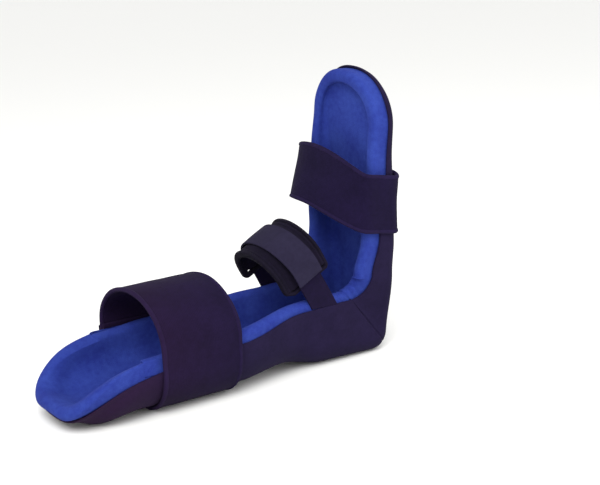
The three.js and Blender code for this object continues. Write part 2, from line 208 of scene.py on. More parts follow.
# ---- The trough's shape: ribs across it, and points on them --------------------------------------------
def along(knots, t):
    """Smooth interpolation through (position, value) knots, level at each knot."""
    positions, values = zip(*knots)
    if t <= positions[0]:
        return values[0]
    if t >= positions[-1]:
        return values[-1]
    i = next(k for k in range(1, len(positions)) if t <= positions[k])
    u = (t - positions[i - 1]) / (positions[i] - positions[i - 1])
    return values[i - 1] + (values[i] - values[i - 1]) * u * u * (3 - 2 * u)


def back_height(x):
    knots = [
        (-CALF_LENGTH, 9), (-328, 0.2), (-290, STRAP_SEAT), (-182, STRAP_SEAT), (-130, 8.5), (HEEL_START, 0),
    ]
    return along(knots, x)


def calf_half_width(x):
    return along([(-190, 58), (-100, 44), (HEEL_START, 43)], x)


def calf_corner(x):
    return along([(-190, 40), (HEEL_START, 26)], x)


def calf_rim(x):
    return along([(-300, 47), (-190, 53), (-110, 63), (HEEL_START, 63.5)], x)


def calf_lip(x):
    return along([(-262, 12), (-180, 11), (-110, 9)], x)


def foot_rim(z):
    return along([(HEEL_END, 31), (127, 23), (195, 13), (245, 8)], z)


def lateral_half_width(z):
    return along([(HEEL_END, 51), (120, 55)], z)


def medial_half_width(z):
    return along([(HEEL_END, 46), (125, 50), (163, 56)], z)


FOOT_LIP = 16


class Rib:
    """One cross-section of the trough: where its back and rim are in side view, and its size. bow is the cut
    of the proximal end, narrow and reach shape the toe end, shift moves the rib sideways, and share is the
    way round the heel for the heel's ribs."""

    def __init__(
        self, back, rim, inward, lip, lateral, medial, corner, up=None,
        bow=0, narrow=1, reach=0, shift=0, share=None,
    ):
        self.back, self.rim, self.inward = (np.array(p, float) for p in (back, rim, inward))
        self.lip, self.lateral, self.medial, self.corner, self.up = lip, lateral, medial, corner, up
        self.bow, self.narrow, self.reach, self.shift, self.share = bow, narrow, reach, shift, share

    def start(self, depth):
        return self.back + self.inward * depth

    def rise(self, depth):
        """Direction of the walls at a depth, and the height of the cover's rim along it."""
        rise = self.rim - self.start(depth)
        up = rise / np.linalg.norm(rise) if self.up is None else np.array(self.up, float)
        return up, max(0.0, float(rise @ up))


def calf_rib(x):
    bow = BOW * max(0.0, 1 - (x + CALF_LENGTH) / BOW_END)
    half = calf_half_width(x)
    back, rim, up = (x, back_height(x)), (x, calf_rim(x + bow)), (0, 1)
    return Rib(back, rim, up, calf_lip(x + bow), half, half, calf_corner(x), up, bow=bow)


NEARBY = 0.004  # share of a line's length over which its direction is taken


def path_lengths(points):
    return np.concatenate([[0], np.cumsum(np.linalg.norm(np.diff(points, axis=0), axis=1))])


def by_length(points, share):
    """The point at a share of a polyline's length, and the direction there."""
    lengths = path_lengths(points)
    shares = (share, share + NEARBY, share - NEARBY)
    at = [np.array([np.interp(s * lengths[-1], lengths, points[:, k]) for k in (0, 1)]) for s in shares]
    direction = at[1] - at[2]
    return at[0], direction / np.linalg.norm(direction)


def catmull_rom(points, per_span=16):
    p = np.array([2 * np.array(points[0]) - points[1], *points, 2 * np.array(points[-1]) - points[-2]], float)
    spans = []
    for i in range(1, len(p) - 2):
        t = np.linspace(0, 1, per_span, endpoint=False)[:, None]
        a, b, c, d = p[i - 1:i + 3]
        bend, twist = 2 * a - 5 * b + 4 * c - d, 3 * b - a - 3 * c + d
        spans.append(0.5 * (2 * b + (c - a) * t + bend * t**2 + twist * t**3))
    return np.vstack([*spans, p[-2:-1]])


HEEL_RIM = catmull_rom([
    (HEEL_START, calf_rim(HEEL_START)),
    (-60, 62.5), (-47, 62.5), (-37.5, 69),
    (-foot_rim(HEEL_END), HEEL_END),
])
HEEL_TURN = np.radians(np.linspace(-90, 0, 25))
HEEL_ARC = HEEL_RADIUS * np.column_stack([np.cos(HEEL_TURN), np.sin(HEEL_TURN)]) + (-HEEL_RADIUS, HEEL_RADIUS)
HEEL_BACK = np.vstack([[(HEEL_START, 0)], HEEL_ARC, [(0, HEEL_END)]])
HEEL_LENGTH = np.linalg.norm(np.diff(HEEL_BACK, axis=0), axis=1).sum()
# The mitre seam, as a share of the way round the heel, is where the turn is half done.
MITRE = (-HEEL_RADIUS - HEEL_START + HEEL_RADIUS * math.pi / 4) / HEEL_LENGTH


def heel_rib(share):
    back, direction = by_length(HEEL_BACK, share)
    rim, _ = by_length(HEEL_RIM, share)
    return Rib(
        back, rim, (-direction[1], direction[0]), along([(0, 9), (1, FOOT_LIP)], share),
        along([(0, 43), (MITRE, 40), (1, lateral_half_width(HEEL_END))], share),
        along([(0, 43), (MITRE, 40), (1, medial_half_width(HEEL_END))], share),
        along([(0, 26), (MITRE, 18), (1, FOOT_CORNER)], share), share=share,
    )


def foot_rib(z, reach=0, narrow=1):
    shift = along([(HEEL_END, 0), (TOE_START, TOE_OFFSET)], z)
    return Rib(
        (0, z), (-foot_rim(z + TOE_LENGTH * reach), z), (-1, 0), FOOT_LIP, lateral_half_width(z) + shift,
        medial_half_width(z) - shift, FOOT_CORNER, (-1, 0), reach=reach, narrow=narrow, shift=shift,
    )


def toe_rib(degrees):
    """The toe's ribs all start at TOE_START, reach further on and get narrower, to a rounded end."""
    reach = math.sin(math.radians(degrees))
    narrow = max(0.0, 1 - reach**TOE_ROUNDNESS) ** (1 / TOE_ROUNDNESS)
    return foot_rib(TOE_START, reach, narrow)


SEAM_STEPS = np.array([-0.009, -0.005, 0, 0.005, 0.009])  # extra ribs at the mitre seam
RIBS = [
    *[calf_rib(x) for x in np.linspace(-CALF_LENGTH, HEEL_START, 71)],
    *[heel_rib(s) for s in sorted([*np.linspace(0, 1, 45)[1:], *(MITRE + SEAM_STEPS)])],
    *[foot_rib(z) for z in np.linspace(HEEL_END, TOE_START, 37)[1:]],
    *[toe_rib(d) for d in np.linspace(0, 90, 31)[1:]],
]


# ---- Sections: rounded polylines ----------------------------------------------------------------------
def rounded(corners, radii, counts):
    """A polyline through corners with every inner corner rounded; counts samples on each straight and arc."""
    corners = [np.array(c, float) for c in corners]
    wanted = [0, *radii, 0]
    sides = [np.linalg.norm(b - a) for a, b in zip(corners, corners[1:])]

    def room(side, radius, other):
        return max(side - other, side * radius / max(radius + other, 1e-6))

    cuts = [
        min(wanted[i], room(sides[i - 1], wanted[i], wanted[i - 1]), room(sides[i], wanted[i], wanted[i + 1]))
        for i in range(1, len(corners) - 1)
    ]
    points = []
    position = corners[0]
    for i, cut in enumerate(cuts, start=1):
        to_start = corners[i - 1] - corners[i]
        to_end = corners[i + 1] - corners[i]
        first = corners[i] + to_start / max(np.linalg.norm(to_start), 1e-9) * cut
        last = corners[i] + to_end / max(np.linalg.norm(to_end), 1e-9) * cut
        straight, arc = counts[2 * i - 2], counts[2 * i - 1]
        points += [position + (first - position) * t for t in np.linspace(0, 1, straight, endpoint=False)]
        weight = 1 / math.sqrt(2)
        for t in np.linspace(0, 1, arc, endpoint=False):
            a, b, c = (1 - t) ** 2, 2 * weight * t * (1 - t), t * t
            points.append((a * first + b * corners[i] + c * last) / (a + b + c))
        position = last
    points += [position + (corners[-1] - position) * t for t in np.linspace(0, 1, counts[-1])]
    return np.array(points)


def place(rib, side, section, depth, edge, bow_share, short):
    """The points (y, h) of half a section, moved to a rib: h counts from a depth, and side is -1 for the
    lateral half. The cut of the proximal end is whole at a length short of the point numbered edge."""
    start = rib.start(depth)
    up, _ = rib.rise(depth)
    half = rib.lateral if side < 0 else rib.medial
    lengths = path_lengths(section)
    share = np.minimum(1, lengths / (lengths[edge] - short))
    cut = rib.bow * bow_share * (share**BOW_POWER + RUN_OUT * share**RUN_OUT_POWER)
    y, h = section[:, 0], section[:, 1]
    bend = half - TOE_BEND
    ahead = np.where(y < bend, (TOE_LENGTH - TOE_BEND) * y / bend, TOE_LENGTH - (half - y)) * rib.reach
    return np.column_stack([
        start[0] + up[0] * h + cut,
        rib.shift + side * y * rib.narrow,
        start[1] + up[1] * h + ahead,
    ])


def across(rib, section, depth, edge, bow_share=1.0, short=0.0):
    """A row across the trough, from the lateral edge to the medial edge. section(half) gives (y, h)."""
    lateral = place(rib, -1, section(rib.lateral), depth, edge, bow_share, short)
    medial = place(rib, 1, section(rib.medial), depth, edge, bow_share, short)
    return np.vstack([lateral[::-1], medial[1:]])


# ---- Meshes ------------------------------------------------------------------------------------------
def row_frame(points):
    return (np.asarray(points, float) + ORIGIN) / 1000


def grid_mesh(name, grid, material, around=False, ends=False, merge=0.0, uv=None):
    """A surface through a grid of points in millimetres. around joins the last column to the first; ends
    fills the first and last rows, whose columns face each other in pairs. UV is the distance along and
    across, in millimetres."""
    rows, columns = grid.shape[:2]
    points = row_frame(grid.reshape(-1, 3))
    faces = []
    wrap = columns if around else columns - 1
    for r in range(rows - 1):
        for c in range(wrap):
            d = (c + 1) % columns
            faces.append((r * columns + c, r * columns + d, (r + 1) * columns + d, (r + 1) * columns + c))
    if ends:
        for first in (0, (rows - 1) * columns):
            for c in range(columns // 2 - 1):
                d = columns - 1 - c
                faces.append((first + c, first + c + 1, first + d - 1, first + d))
    mesh = bpy.data.meshes.new(name)
    mesh.from_pydata(points.tolist(), [], faces)
    if uv is None:
        u = path_lengths(grid[:, columns // 2])
        v = np.array([path_lengths(row) for row in grid])
        v -= v[:, columns // 2:columns // 2 + 1]
        uv = np.column_stack([np.repeat(u, columns), v.reshape(-1)])
    layer = mesh.uv_layers.new(name="UVMap")
    indices = np.empty(len(mesh.loops), int)
    mesh.loops.foreach_get("vertex_index", indices)
    layer.data.foreach_set("uv", uv[indices].astype(np.float32).reshape(-1))
    mesh.materials.append(material)
    obj = bpy.data.objects.new(name, mesh)
    bpy.context.collection.objects.link(obj)
    clean(mesh, merge)
    return obj


def clean(mesh, merge):
    """Joins points nearer than merge, turns the faces outward and shades them smooth."""
    work = bmesh.new()
    work.from_mesh(mesh)
    if merge:
        bmesh.ops.remove_doubles(work, verts=work.verts, dist=merge)
    bmesh.ops.recalc_face_normals(work, faces=work.faces)
    for face in work.faces:
        face.smooth = True
    work.to_mesh(mesh)
    work.free()


def applied(obj):
    """obj with its modifiers made part of its mesh."""
    bpy.context.view_layer.update()
    graph = bpy.context.evaluated_depsgraph_get()
    result = obj.evaluated_get(graph)
    mesh = bpy.data.meshes.new_from_object(result, preserve_all_data_layers=True, depsgraph=graph)
    obj.modifiers.clear()
    obj.data = mesh
    return obj


def subdivide(obj):
    modifier = obj.modifiers.new("smooth", "SUBSURF")
    modifier.levels = modifier.render_levels = 1
    return applied(obj)


def push(obj, distance):
    """Moves every point along its normal by distance(point), in millimetres."""
    moved = [v.co + v.normal * (distance(v.co) / 1000) for v in obj.data.vertices]
    obj.data.vertices.foreach_set("co", np.array(moved, np.float32).reshape(-1))
    obj.data.update()
    return obj


def crumple(obj, height, size, seed=0.0):
    """Soft unevenness: the noise's height and size are in millimetres."""
    start = Vector((seed, seed, seed))
    return push(obj, lambda point: noise.noise(point * (1000 / size) + start) * height)


WELD = 0.00005  # metres: points nearer than this are one vertex, where a surface closes on itself


def finish_piece(obj, slot, nodes, body=None):
    """Says which nodes the piece stands for, its slot, and the body that all of it rides."""
    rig.replaces(obj, *nodes)
    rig.slot(obj, slot)
    if body:
        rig.ride(obj, body)
    return obj


# ---- Materials ---------------------------------------------------------------------------------------
def linear(red, green, blue):
    """Screen colour, 0 to 255, as linear RGBA."""
    channels = [c / 255 for c in (red, green, blue)]
    return (*[c / 12.92 if c <= 0.04045 else ((c + 0.055) / 1.055) ** 2.4 for c in channels], 1.0)


class Nodes:
    """Short names for building a material's node tree."""

    def __init__(self, name):
        self.material = bpy.data.materials.new(name)
        self.material.use_nodes = True
        self.tree = self.material.node_tree
        self.shader = self.tree.nodes["Principled BSDF"]

    def feed(self, socket, value):
        """Gives an input its value: another node's output, or a plain number or colour."""
        if isinstance(value, bpy.types.NodeSocket):
            self.tree.links.new(value, socket)
        else:
            socket.default_value = value

    def add(self, kind, inputs=None, **settings):
        node = self.tree.nodes.new(kind)
        for key, value in settings.items():
            setattr(node, key, value)
        for key, value in (inputs or {}).items():
            self.feed(node.inputs[key], value)
        return node

    def math(self, operation, a, b=0.0):
        return self.add("ShaderNodeMath", {0: a, 1: b}, operation=operation).outputs[0]

    def mix(self, factor, a, b):
        """Two colours mixed. The colour sockets of this node are its inputs 6 and 7 and its output 2."""
        return self.add("ShaderNodeMix", {0: factor, 6: a, 7: b}, data_type="RGBA").outputs[2]

    def set(self, **inputs):
        """The finished material, with these inputs of its shader."""
        for key, value in inputs.items():
            self.feed(self.shader.inputs[key.replace("_", " ")], value)
        return self.material


MAROON = linear(46, 17, 42)
KNEE = -0.18  # metres: where the dye has turned all the way, from nothing at the middle of the frame


def fabric(
    name, colour, shade, weave=1.1, rib=0.0, hollow_shade=0.5, bump=0.25, sheen=0.1, roughness=0.95,
    pattern="knit", warm=0.0,
):
    """A textile. colour and shade are mixed by a soft mottle. weave is the yarn's pitch and rib the wales'
    pitch, in millimetres. hollow_shade is painted shade: it darkens the hollows between yarns. warm is how
    far the dye turns to maroon towards the knee."""
    n = Nodes(name)
    place_in_space = n.add("ShaderNodeTexCoord").outputs["Object"]
    uv = n.add("ShaderNodeUVMap").outputs[0]
    split = n.add("ShaderNodeSeparateXYZ", {0: uv})
    u, v = split.outputs[0], split.outputs[1]
    if pattern == "woven":
        warp = n.math("SINE", n.math("MULTIPLY", u, math.tau / weave))
        weft = n.math("SINE", n.math("MULTIPLY", v, math.tau / weave))
        yarn = n.math("ADD", n.math("MULTIPLY", n.math("MULTIPLY", warp, weft), 0.5), 0.5)
    else:
        looseness = {"Vector": place_in_space, "Scale": 1000 / weave, "Randomness": 0.75}
        cells = n.add("ShaderNodeTexVoronoi", looseness, feature="F1")
        yarn = n.math("SUBTRACT", 1.0, n.math("MULTIPLY", cells.outputs["Distance"], 0.9))

    def speckle(scale, detail, roughness):
        inputs = {"Vector": place_in_space, "Scale": scale, "Detail": detail, "Roughness": roughness}
        return n.add("ShaderNodeTexNoise", inputs).outputs[0]

    fine, soft, patch = speckle(1600, 3.0, 0.7), speckle(34, 4.0, 0.55), speckle(210, 2.0, 0.6)
    mottle = n.math("ADD", n.math("MULTIPLY", soft, 0.62), n.math("MULTIPLY", patch, 0.38))
    wide = n.add("ShaderNodeMapRange", {"Value": mottle, "From Min": 0.36, "From Max": 0.64}).outputs[0]
    base = n.mix(wide, shade, colour)
    if warm:
        x = n.add("ShaderNodeSeparateXYZ", {0: place_in_space}).outputs[0]
        near_knee = n.add("ShaderNodeMapRange", {"Value": x, "From Min": 0.0, "From Max": KNEE}).outputs[0]
        base = n.mix(n.math("MULTIPLY", near_knee, warm), base, MAROON)
    # Painted shade: the hollows between yarns are darkened towards a darker tone of the shade colour.
    painted_hollow_shade = n.math("MULTIPLY", n.math("SUBTRACT", 1.0, yarn), hollow_shade)
    base = n.mix(painted_hollow_shade, base, tuple(c * 0.45 for c in shade[:3]) + (1,))
    height = n.math("ADD", n.math("MULTIPLY", yarn, 0.7), n.math("MULTIPLY", fine, 0.5))
    if rib:
        wales = n.math("SINE", n.math("MULTIPLY", v, math.tau / rib))
        height = n.math("ADD", height, n.math("MULTIPLY", wales, 0.25))
    normal = n.add("ShaderNodeBump", {"Height": height, "Strength": bump, "Distance": 0.0006})
    return n.set(
        Base_Color=base, Roughness=roughness, Normal=normal.outputs[0],
        Sheen_Weight=sheen, Sheen_Tint=colour, Sheen_Roughness=0.45, Specular_IOR_Level=0.12,
    )


NAVY, NAVY_SHADE = linear(30, 22, 53), linear(23, 16, 44)
STRAP, STRAP_SHADE = linear(24, 15, 47), linear(17, 9, 37)
# The edge tape is lighter than the strap: partly its own colour, partly a painted highlight along the bound edges.
EDGE_AND_HIGHLIGHT, EDGE_AND_HIGHLIGHT_SHADE = linear(32, 22, 57), linear(23, 14, 45)
TAB, TAB_SHADE = linear(23, 14, 45), linear(16, 9, 34)
BLUE, BLUE_SHADE = linear(45, 63, 142), linear(33, 46, 124)
GREY, GREY_SHADE = linear(38, 34, 56), linear(31, 27, 47)
BLACK, BLACK_SHADE = linear(21, 15, 35), linear(14, 10, 25)
BINDING, BINDING_SHADE = linear(21, 16, 34), linear(14, 10, 24)
HOOK, HOOK_SHADE = linear(24, 22, 30), linear(16, 14, 20)

cover_cloth = fabric("cover_cloth", NAVY, NAVY_SHADE, weave=0.9, bump=0.25, warm=0.55)
liner_cloth = fabric("liner_cloth", BLUE, BLUE_SHADE, weave=1.0, bump=0.35, sheen=0.12, hollow_shade=0.35)
strap_cloth = fabric("strap_cloth", STRAP, STRAP_SHADE, weave=0.8, rib=1.6, bump=0.3, warm=0.35)
# Painted highlight: this lighter cloth gives the strap's bound edges their highlight.
edge_cloth_and_highlight = fabric("edge_cloth_and_highlight", EDGE_AND_HIGHLIGHT, EDGE_AND_HIGHLIGHT_SHADE, weave=0.7, bump=0.35, warm=0.35)
webbing = fabric("webbing", GREY, GREY_SHADE, weave=1.7, bump=0.5, pattern="woven", hollow_shade=0.4)
pad_cloth = fabric("pad_cloth", BLACK, BLACK_SHADE, weave=0.9, bump=0.3)
tab_cloth = fabric("tab_cloth", TAB, TAB_SHADE, weave=0.8, bump=0.4)
binding_cloth = fabric("binding_cloth", BINDING, BINDING_SHADE, weave=1.4, bump=0.4, pattern="woven")
hook_cloth = fabric(
    "hook_cloth", HOOK, HOOK_SHADE, weave=1.5, bump=0.9, pattern="woven", roughness=0.6, sheen=0.0,
)


# ---- The cover and the liner ---------------------------------------------------------------------------
ROLL = COVER_EDGE / 2
LINER_OUTER = COVER_EDGE + 0.3
END_RADIUS = (INNER - LINER_OUTER) / 2  # the liner's proximal end is a half-round roll
END_TURN = np.radians(np.linspace(-90, 90, 13))
LINER_BOW = 52 / BOW  # the liner's end is cut back less than the cover's, so it shows as a border
TUCK = 34  # how far the liner's outer face reaches under the cover at the proximal end
TUCK_DEPTH = 0.5  # and how much deeper it lies there
COVER_RIM_INDEX = 37  # the cover's rim is this point of its section
LINER_RIM_INDEX = 31  # and the liner's rim starts at this point of its own
RIM_RADIUS = 6.2
FOOT_FILLET = 9
MITRE_DEPTH = 1.1
MITRE_WIDTH = 0.005
# Where the liner's rim is gathered round the ankle, in shares of the heel.
PLEATS = (0.3, 0.39, 0.47, 0.56, 0.66)
PLEAT_WIDTH = 0.016
PLEAT_DEPTH = 1.3


def symmetric_tip(row):
    """The toe's last row, whose two halves lie on one line: both take the same points."""
    return (row + row[::-1]) / 2


def cover_row(rib, depth=0.0, advance=0.0):
    """The cover's outer face across a rib, turned in over its rim."""
    height = rib.rise(0)[1] - depth - ROLL
    seam = 0.0 if rib.share is None else MITRE_DEPTH * math.exp(-((rib.share - MITRE) / MITRE_WIDTH) ** 2)
    depth += seam

    def section(outer_half):
        half = outer_half - depth
        body = rounded([(0, 0), (half, 0), (half, height)], [max(rib.corner - depth, 4)], [11, 15, 12])
        turn = np.linspace(0, math.pi, 7)[1:]
        over = np.column_stack([half - ROLL + ROLL * np.cos(turn), height + ROLL * np.sin(turn)])
        return np.vstack([body, over, [(half - 2 * ROLL, height - 2), (half - 2 * ROLL, height - 5)]])

    row = across(rib, section, depth, COVER_RIM_INDEX)
    row[:, 0] -= advance
    return symmetric_tip(row) if rib.narrow < 1e-6 else row


def pleat(rib):
    """How far the liner's rim is drawn in at a rib."""
    if rib.share is None:
        return 0.0
    return PLEAT_DEPTH * sum(math.exp(-((rib.share - at) / PLEAT_WIDTH) ** 2) for at in PLEATS)


def liner_row(rib, inner=INNER, advance=0.0, bow_share=LINER_BOW, short=0.0):
    """The liner's inner face across a rib, at the depth inner, with its rolled rim above the cover's."""
    rim = rib.rise(inner)[1] if rib.up is None else rib.rise(0)[1] - inner
    top = rim + rib.lip - pleat(rib)
    outer = LINER_OUTER + 0.6 * pleat(rib)
    corner = min(rib.corner, rib.rise(0)[1] - ROLL)

    def section(outer_half):
        half = outer_half - inner
        corners = [(0, 0), (half, 0), (half, top), (outer_half - outer, top), (outer_half - outer, rim - 3)]
        radii = [max(corner - inner, FOOT_FILLET), RIM_RADIUS, RIM_RADIUS]
        return rounded(corners, radii, [11, 14, 6, 7, 3, 7, 8])

    row = across(rib, section, inner, LINER_RIM_INDEX, bow_share, short)
    row[:, 0] -= advance
    return symmetric_tip(row) if rib.narrow < 1e-6 else row


def cover_grid():
    """The cover turns over its proximal end with a small roll, then has a row for every rib."""
    ends = [cover_row(RIBS[0], ROLL * (1 + math.sin(a)), ROLL * math.cos(a)) for a in END_TURN[::-3]]
    return np.array([*ends, *map(cover_row, RIBS)])


def liner_grid():
    """The liner starts tucked under the cover, rolls over its own end, then has a row for every rib."""
    middle = (INNER + LINER_OUTER) / 2
    above_cover = RIBS[0].lip - RIM_RADIUS + ROLL
    tucked = liner_row(RIBS[0], LINER_OUTER + TUCK_DEPTH, -TUCK, 1.0, above_cover)
    roll = [
        liner_row(RIBS[0], middle + END_RADIUS * math.sin(angle), END_RADIUS * math.cos(angle))
        for angle in END_TURN[:-1]
    ]
    return np.array([tucked, *roll, *map(liner_row, RIBS)])


def trough():
    cover = subdivide(grid_mesh("cover", cover_grid(), cover_cloth, merge=WELD))
    liner = subdivide(grid_mesh("liner", liner_grid(), liner_cloth, merge=WELD))
    crumple(cover, height=0.7, size=45)
    crumple(liner, height=0.8, size=30, seed=7)
    finish_piece(cover, "cover_navy", ["cover_calf_panel", "cover_foot_panel"], "trough")
    finish_piece(liner, "liner_blue", ["liner_calf", "liner_foot"], "trough")
    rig.padded(liner, fill=0.9)
    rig.padded(cover, fill=0.9)


trough()


# ---- Straps --------------------------------------------------------------------------------------------
GAP = 0.3
STRAP_THICKNESS = 3.5
BINDING_WIDTH = 4.8
BINDING_RAISE = 0.9  # how much thicker the binding is than the strap
BINDING_LIFT = -0.25  # where its inner face lies, from the strap's own
BINDING_LAP = 1.5  # the strap's band reaches this far into the binding
HOOK_THICKNESS = 1.4
OVERLAP = GAP + STRAP_THICKNESS + GAP + HOOK_THICKNESS + GAP
UNDER_SEAM = 10  # where the strap's two lengths are sewn end to end, under the trough
EDGE_TURN = np.radians([12, 40, 65, 90])
# Rows close to each end of a strip, and the share of its thickness that it has there: the ends are rounded.
END_STATIONS = np.array([0, 0.25, 0.8])
END_THICKNESS = (0.3, 0.7, 0.93)
END_CLEAR = 1.8  # the evenly spaced rows start this far from an end


def line(start, end, count=8):
    return np.linspace(start, end, count, endpoint=False)


def ellipse(centre, radii, start, end, count=24):
    turn = np.radians(np.linspace(start, end, count, endpoint=False))
    return np.column_stack([centre[0] + radii[0] * np.cos(turn), centre[1] + radii[1] * np.sin(turn)])


def flat_section(near, far, thickness, lift=0.0, rounding=1.2, step=5.0):
    """(w, d) points round a flat strip with rounded edges: out along its outer face, back along the inner."""
    near_edge = near + rounding * (1 - np.cos(EDGE_TURN))
    far_edge = far - rounding * (1 - np.cos(EDGE_TURN[::-1]))
    count = max(2, round((far - near) / step))
    w = np.concatenate([near_edge, np.linspace(near + rounding, far - rounding, count)[1:-1], far_edge])
    half = np.full(len(w), thickness / 2)
    half[:len(EDGE_TURN)] *= np.sin(EDGE_TURN)
    half[-len(EDGE_TURN):] *= np.sin(EDGE_TURN[::-1])
    middle = lift + thickness / 2
    return np.vstack([np.column_stack([w, middle + half]), np.column_stack([w, middle - half])[::-1]])


def band(name, path, section, place, material, corner=0.0, offset=None, step=3.0):
    """A strip of webbing. path(w) is the line of its inner face at w across the strip, section is its
    cross-section, and place(points, w) puts points of the loop in space. corner rounds the last end's
    corners, and offset(point, w) lifts the strip off its path."""
    middle = (section[:, 0].min() + section[:, 0].max()) / 2
    half = section[:, 0].max() - middle
    length = path_lengths(path(middle))[-1]
    even = np.linspace(END_CLEAR, length - END_CLEAR, max(3, round(length / step)))
    stations = np.concatenate([END_STATIONS, even, length - END_STATIONS[::-1]])
    thin = np.concatenate([END_THICKNESS, np.ones(len(even)), END_THICKNESS[::-1]])
    left = length - stations
    inset = corner - np.sqrt(np.maximum(0, corner**2 - np.maximum(0, corner - left) ** 2))
    core = section[:, 1].mean()
    columns = []
    for w, d in section:
        raw = path(w)
        along_path = path_lengths(raw)
        at = stations / length * along_path[-1]
        points = np.column_stack([np.interp(at, along_path, raw[:, k]) for k in (0, 1)])
        tangent = np.gradient(points, axis=0)
        tangent /= np.linalg.norm(tangent, axis=1, keepdims=True)
        outward = np.column_stack([-tangent[:, 1], tangent[:, 0]])
        depth = core + (d - core) * thin
        if offset:
            depth = depth + np.array([offset(point, w) for point in points])
        across_strip = middle + (w - middle) * (1 - inset / half)
        columns.append(place(points + outward * depth[:, None], across_strip))
    grid = np.stack(columns, axis=1)
    uv = np.column_stack([np.repeat(stations, len(section)), np.tile(section[:, 0], len(stations))])
    return grid_mesh(name, grid, material, around=True, ends=True, uv=uv)


@dataclass
class WideStrap:
    """A strap that passes right round the trough and the leg, drawn in the plane of its loop: (y, h)."""

    name: str
    place: Callable  # (points, w) of the loop to points in space
    lateral: float  # how far out the lateral wall is
    medial: float
    corner: float  # radius of the turn from the trough's underside to its walls
    floor: float  # height of the trough's underside
    shoulder: float  # height at which the strap leaves the lateral wall
    medial_shoulder: float
    crown: float  # y of the strap's highest point
    rise: Callable  # w to the height of that point above the shoulder
    flap_end: float
    tab_end: float
    near: float  # w of the strap's edges
    far: float
    bend_towards: tuple  # the way that the flap runs where it bends

    def over(self, w):
        """From under the trough up the lateral wall, over the leg and down to the end of the flap."""
        corner, floor, crown = self.corner, self.floor, self.crown
        shoulder, medial_shoulder = self.shoulder, self.medial_shoulder
        far, top = self.medial + OVERLAP, shoulder + self.rise(w)
        return np.vstack([
            line((UNDER_SEAM, floor - GAP), (-self.lateral + corner, floor - GAP)),
            ellipse((-self.lateral + corner, floor + corner), (corner + GAP, corner + GAP), 270, 180),
            line((-self.lateral - GAP, floor + corner), (-self.lateral - GAP, shoulder)),
            ellipse((crown, shoulder), (crown + self.lateral + GAP, top - shoulder), 180, 90),
            ellipse((crown, medial_shoulder), (far - crown, top - medial_shoulder), 90, 0),
            line((far, medial_shoulder), (far, self.flap_end + 3)),
            [(far, self.flap_end + 3)],
        ])

    def under(self, _):
        """From the top of the medial wall down and under the trough, to the seam."""
        corner, floor = self.corner, self.floor
        return np.vstack([
            line((self.medial + GAP, self.medial_shoulder - GAP), (self.medial + GAP, floor + corner)),
            ellipse((self.medial - corner, floor + corner), (corner + GAP, corner + GAP), 0, -90),
            line((self.medial - corner, floor - GAP), (UNDER_SEAM + GAP, floor - GAP)),
            [(UNDER_SEAM + GAP, floor - GAP)],
        ])

    def tab(self, _):
        """The end tab is lapped over the end of the flap."""
        far = self.medial + OVERLAP
        lap = STRAP_THICKNESS + 0.1
        return smooth_path([
            (far + lap, self.flap_end + 9), (far + lap, self.flap_end + 4), (far + 0.6, self.flap_end - 3),
            (far, self.flap_end - 7), (far, self.tab_end),
        ])

    def hook(self, _):
        face = self.medial + OVERLAP - GAP - HOOK_THICKNESS
        heights = (self.flap_end - 1, (self.flap_end + self.tab_end) / 2, self.tab_end + 2)
        return np.array([(face, h) for h in heights])

    def point(self, y, h):
        """A point of the loop's plane, half way across the strap, in the row frame."""
        return row_frame(self.place(np.array([[y, h]]), np.array([(self.near + self.far) / 2])))[0]

    def edge(self, near):
        """The section of the rolled binding along one edge."""
        thickness = STRAP_THICKNESS + BINDING_RAISE
        return flat_section(near, near + BINDING_WIDTH, thickness, BINDING_LIFT, rounding=2.1, step=1.6)

    def build(self, offset=None):
        name, place = self.name, self.place
        flap, tab = f"{name.split('_strap')[0]}_flap", f"{name.split('_strap')[0]}_tab"
        inner_near, inner_far = self.near + BINDING_WIDTH, self.far - BINDING_WIDTH
        whole = flat_section(self.near, self.far, STRAP_THICKNESS)
        inside = flat_section(inner_near - BINDING_LAP, inner_far + BINDING_LAP, STRAP_THICKNESS)
        proximal, distal = self.edge(self.near), self.edge(inner_far)
        outer = [
            ("band", inside, strap_cloth, "strap_navy", [f"{name}_anchor", f"{name}_flap"]),
            # The bindings take the lighter edge cloth, which is partly a painted highlight along the strap's edges.
            ("edge_proximal", proximal, edge_cloth_and_highlight, "edge_tape", [f"{name}_binding_proximal"]),
            ("edge_distal", distal, edge_cloth_and_highlight, "edge_tape", [f"{name}_binding_distal"]),
        ]
        lateral, up = np.array([-self.lateral - 2, self.shoulder]), np.array(self.bend_towards)
        start, end = self.point(*(lateral - 6 * up)), self.point(*(lateral + 4 * up))
        for suffix, section, cloth, slot, nodes in outer:
            obj = band(f"{name}_{suffix}", self.over, section, place, cloth, offset=offset)
            crumple(subdivide(obj), height=0.45, size=26, seed=3)
            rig.blend(finish_piece(obj, slot, nodes), "trough", flap, start, end)
        under = subdivide(band(f"{name}_under", self.under, whole, place, strap_cloth))
        crumple(under, height=0.3, size=26)
        finish_piece(under, "strap_navy", [f"{name}_anchor"], "trough")
        end_tab = subdivide(band(f"{name}_end", self.tab, whole, place, tab_cloth, corner=9))
        finish_piece(end_tab, "strap_navy", [f"{name}_tab"])
        far = self.medial + OVERLAP
        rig.blend(end_tab, flap, tab, self.point(far, self.flap_end + 4), self.point(far, self.flap_end - 4))
        hook_section = flat_section(inner_near, inner_far, HOOK_THICKNESS, rounding=0.5)
        hook = band(f"{name}_hooks", self.hook, hook_section, place, hook_cloth)
        finish_piece(hook, "hook_tape", [f"{name}_hook"], tab)


def smooth_path(points):
    return catmull_rom(points, per_span=6)


def calf_place(points, w):
    return np.column_stack([np.broadcast_to(w, len(points)), points[:, 0], points[:, 1]])


